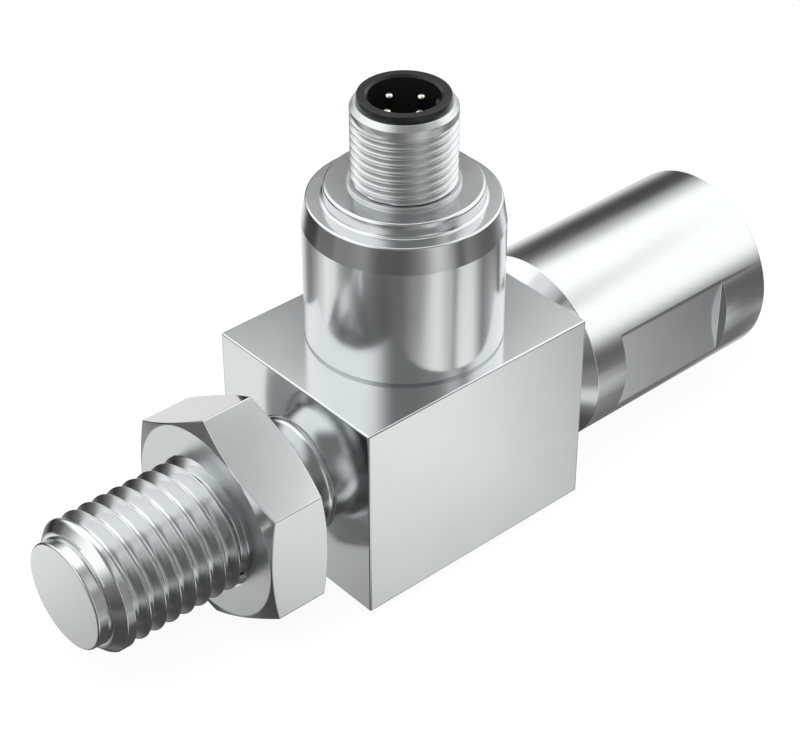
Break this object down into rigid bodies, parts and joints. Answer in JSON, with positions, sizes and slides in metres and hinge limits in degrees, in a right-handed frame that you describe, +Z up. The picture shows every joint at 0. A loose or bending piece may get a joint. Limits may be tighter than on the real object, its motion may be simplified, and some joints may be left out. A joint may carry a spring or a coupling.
{
  "type": "force sensor",
  "caption": "Inline tension and compression force sensor: rectangular steel block between a threaded stud with lock nut and a tapped round end, with a round plug connector on top.",
  "frame": {"origin": "centre of the block's flat underside", "axes": "+X along the load axis towards the tapped end, +Z up through the connector"},
  "size_m": [0.0991, 0.026, 0.0572],
  "materials": {
    "machined_steel": "fine satin machined stainless steel",
    "nut_steel": "satin stainless steel",
    "turned_steel": "fine turned stainless steel",
    "shell_steel": "fine turned stainless steel",
    "cell_steel": "ground stainless steel",
    "black_moulding": "satin black moulded polyamide",
    "gold_contact": "gold plated contact",
    "seal_rubber": "matt black rubber",
    "gauge_foil": "amber film with etched foil",
    "board_laminate": "green solder mask",
    "tinned_copper": "tinned copper",
    "ribbon_film": "amber polyimide film",
    "socket_moulding": "cream moulded plastic",
    "white_moulding": "white moulded plastic",
    "chip_moulding": "black moulded package",
    "capacitor_body": "brown ceramic with tinned ends",
    "wire_brown": "brown insulation",
    "wire_white": "white insulation",
    "wire_blue": "blue insulation",
    "wire_black": "black insulation"
  },
  "bodies": {
    "sensor": {"load_body": "machined_steel", "sensor_housing": "turned_steel", "connector_shell": "shell_steel", "contact_carrier": "black_moulding", "carrier_seal": "seal_rubber", "shell_seal": "seal_rubber", "sensing_cell": "cell_steel", "strain_gauge": "gauge_foil", "bonding_board": "board_laminate", "gauge_leads": "tinned_copper", "bridge_ribbon": "ribbon_film", "ribbon_socket": "socket_moulding", "board_spacer": "white_moulding", "amplifier_board": "board_laminate", "insulating_sleeve": "white_moulding", "amplifier_chip": "chip_moulding", "regulator_chip": "chip_moulding", "board_capacitors": "capacitor_body", "board_resistors": "chip_moulding", "lead_wire_1": "wire_brown", "lead_wire_2": "wire_white", "lead_wire_3": "wire_blue", "lead_wire_4": "wire_black", "contact_pin_1": "gold_contact", "contact_pin_2": "gold_contact", "contact_pin_3": "gold_contact", "contact_pin_4": "gold_contact"},
    "lock_nut": {"lock_nut": "nut_steel"}
  },
  "joints": [
    {"name": "lock_nut_turn", "type": "hinge", "parent": "sensor", "child": "lock_nut", "pos_m": [-0.02575, 0, 0.0127], "axis": [1, 0, 0], "range_deg": [-2520, 720]}
  ]
}
